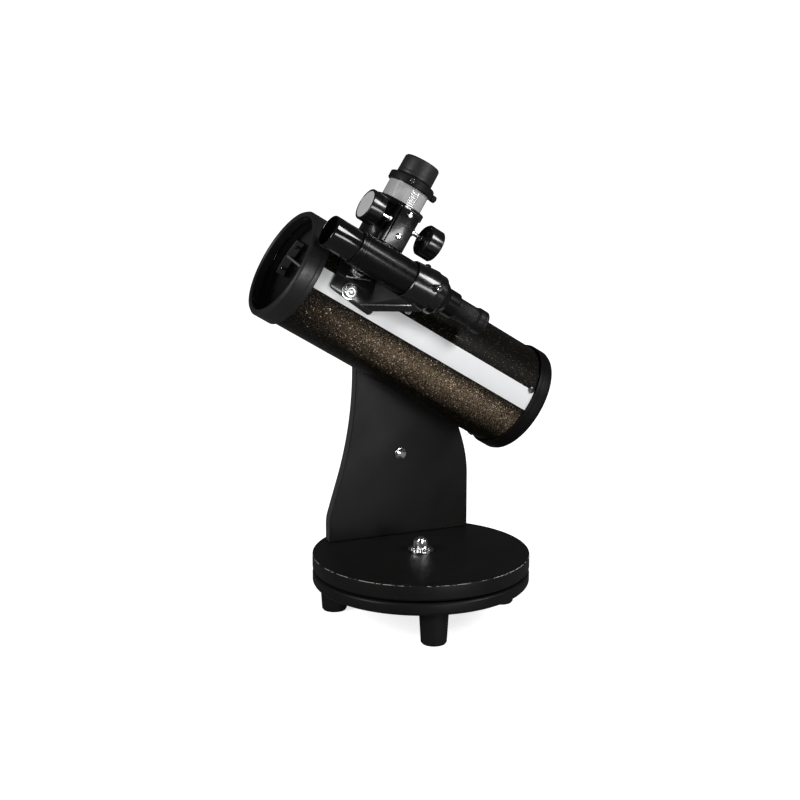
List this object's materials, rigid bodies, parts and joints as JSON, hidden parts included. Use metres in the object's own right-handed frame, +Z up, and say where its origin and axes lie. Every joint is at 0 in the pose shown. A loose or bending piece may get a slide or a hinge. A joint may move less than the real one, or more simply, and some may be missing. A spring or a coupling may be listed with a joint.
{
  "type": "newtonian reflector telescope",
  "caption": "Tabletop newtonian reflector telescope on a single-arm rocker base, with rack-and-pinion focuser, finder scope, dust cap and rubber-footed turntable.",
  "frame": {"origin": "on the floor, in the middle of the telescope's plan; the azimuth axis stands 18.2 mm along +X from it", "axes": "+Z up, -X the way the tube's open front points, +Y the side the arm stands on"},
  "size_m": [0.2899, 0.208, 0.4377],
  "materials": {
    "black_laminate": "satin black textured laminate over board",
    "foot_plastic": "matt black",
    "satin_plastic": "satin black",
    "gloss_plastic": "gloss black",
    "ring_plastic": "satin black",
    "cap_rubber": "matt black",
    "black_metal": "matt black",
    "black_screw": "black oxide",
    "nylon": "natural",
    "chrome": "polished",
    "steel": "satin",
    "pale_metal": "satin pale grey",
    "flake_paint": "gloss black with fine bronze flakes",
    "white_paint": "satin white",
    "mirror": "first-surface mirror",
    "glass": "coated lens"
  },
  "bodies": {
    "base": {"ground_board": "black_laminate", "foot_1": "foot_plastic", "foot_2": "foot_plastic", "foot_3": "foot_plastic", "foot_screw_1": "steel", "foot_screw_2": "steel", "foot_screw_3": "steel", "glide_ring": "nylon", "azimuth_bolt": "chrome", "azimuth_washer": "chrome", "azimuth_nut": "chrome"},
    "turntable_assembly": {"turntable": "black_laminate", "arm": "black_laminate", "arm_screw_1": "steel", "arm_screw_2": "steel", "arm_bolt": "chrome", "altitude_washer": "nylon"},
    "tension_knob_assembly": {"tension_knob": "satin_plastic", "altitude_bolt": "chrome"},
    "tube_assembly": {"optical_tube": "flake_paint", "side_stripe": "white_paint", "front_ring": "ring_plastic", "rear_cell": "ring_plastic", "cell_screw_1": "black_screw", "cell_screw_2": "black_screw", "cell_screw_3": "black_screw", "primary_mirror": "mirror", "mirror_retainer": "satin_plastic", "spider_stalk": "black_metal", "stalk_screw_1": "steel", "stalk_screw_2": "steel", "secondary_holder": "black_metal", "secondary_mirror": "mirror", "altitude_bearing": "satin_plastic", "focuser_housing": "satin_plastic", "pinion_cover": "satin_plastic", "cover_screw_1": "chrome", "cover_screw_2": "chrome", "finder_bracket": "satin_plastic", "bracket_stud_1": "steel", "bracket_stud_2": "steel"},
    "drawtube_assembly": {"drawtube": "chrome", "focus_rack": "steel", "eyepiece_collar": "satin_plastic"},
    "collar_screw_body": {"collar_screw": "chrome"},
    "collar_thumbscrew_body": {"collar_thumbscrew": "satin_plastic"},
    "dust_cap_body": {"dust_cap": "cap_rubber"},
    "pinion_assembly": {"pinion_shaft": "steel", "focus_knob_front": "satin_plastic", "focus_knob_rear": "satin_plastic", "knob_cap": "pale_metal"},
    "bracket_nut_1_body": {"bracket_nut_1": "chrome"},
    "bracket_nut_2_body": {"bracket_nut_2": "chrome"},
    "finder_assembly": {"finder_tube": "gloss_plastic", "finder_dew_shield": "gloss_plastic", "finder_objective": "glass"},
    "finder_eyepiece_body": {"finder_eyepiece": "satin_plastic"},
    "adjusting_screw_1_body": {"adjusting_screw_1": "satin_plastic"},
    "adjusting_screw_2_body": {"adjusting_screw_2": "chrome"},
    "adjusting_screw_3_body": {"adjusting_screw_3": "chrome"}
  },
  "joints": [
    {"name": "azimuth", "type": "hinge", "parent": "base", "child": "turntable_assembly", "pos_m": [0.0182, 0, 0.0535], "axis": [0, 0, 1], "continuous": true},
    {"name": "altitude", "type": "hinge", "parent": "turntable_assembly", "child": "tube_assembly", "pos_m": [0.0182, 0.057, 0.262], "axis": [0, 1, 0], "range_deg": [-36.4, 58.6]},
    {"name": "tension_knob_turn", "type": "hinge", "parent": "turntable_assembly", "child": "tension_knob_assembly", "pos_m": [0.0182, 0.08, 0.262], "axis": [0, 1, 0], "continuous": true},
    {"name": "focus_turn", "type": "hinge", "parent": "tube_assembly", "child": "pinion_assembly", "pos_m": [-0.01342, -0.025, 0.37584], "axis": [0.8536, 0, -0.521], "range_deg": [-196, 261]},
    {"name": "drawtube_slide", "type": "slide", "parent": "tube_assembly", "child": "drawtube_assembly", "axis": [0.521, 0, 0.8536], "range_m": [-0.015, 0.02]},
    {"name": "dust_cap_slide", "type": "slide", "parent": "drawtube_assembly", "child": "dust_cap_body", "axis": [0.521, 0, 0.8536], "range_m": [0, 0.025]},
    {"name": "collar_screw_turn", "type": "hinge", "parent": "drawtube_assembly", "child": "collar_screw_body", "pos_m": [0.00748, 0, 0.41007], "axis": [-0.3472, -0.9135, 0.2119], "continuous": true},
    {"name": "collar_thumbscrew_turn", "type": "hinge", "parent": "drawtube_assembly", "child": "collar_thumbscrew_body", "pos_m": [0.00748, 0, 0.41007], "axis": [0.8489, 0.1045, -0.5182], "continuous": true},
    {"name": "bracket_nut_1_turn", "type": "hinge", "parent": "tube_assembly", "child": "bracket_nut_1_body", "pos_m": [-0.07612, 0, 0.31957], "axis": [0.2406, -0.887, 0.3941], "continuous": true},
    {"name": "bracket_nut_2_turn", "type": "hinge", "parent": "tube_assembly", "child": "bracket_nut_2_body", "pos_m": [-0.07612, 0, 0.31957], "axis": [0.0454, -0.9962, 0.0744], "continuous": true},
    {"name": "finder_tilt", "type": "hinge", "parent": "tube_assembly", "child": "finder_assembly", "pos_m": [-0.02235, -0.065, 0.3328], "axis": [0, 1, 0], "range_deg": [-1.2, 1.2]},
    {"name": "finder_focus", "type": "slide", "parent": "finder_assembly", "child": "finder_eyepiece_body", "axis": [0.8536, 0, -0.521], "range_m": [-0.003, 0.003]},
    {"name": "adjusting_screw_1_travel", "type": "slide", "parent": "tube_assembly", "child": "adjusting_screw_1_body", "axis": [0.3991, 0.6428, 0.6539], "range_m": [-0.0003, 0.0003]},
    {"name": "adjusting_screw_2_travel", "type": "slide", "parent": "tube_assembly", "child": "adjusting_screw_2_body", "axis": [0.0905, -0.9848, 0.1482], "range_m": [-0.0001, 0.0001]},
    {"name": "adjusting_screw_3_travel", "type": "slide", "parent": "tube_assembly", "child": "adjusting_screw_3_body", "axis": [-0.4896, 0.342, -0.8021], "range_m": [-0.00036, 0.00036]}
  ],
  "couplings": [
    {"joint": "focus_turn", "follows": "drawtube_slide", "rad_per_m": 227.27},
    {"joint": "adjusting_screw_1_travel", "follows": "finder_tilt", "m_per_rad": -0.01341},
    {"joint": "adjusting_screw_2_travel", "follows": "finder_tilt", "m_per_rad": -0.00304},
    {"joint": "adjusting_screw_3_travel", "follows": "finder_tilt", "m_per_rad": 0.01644}
  ]
}
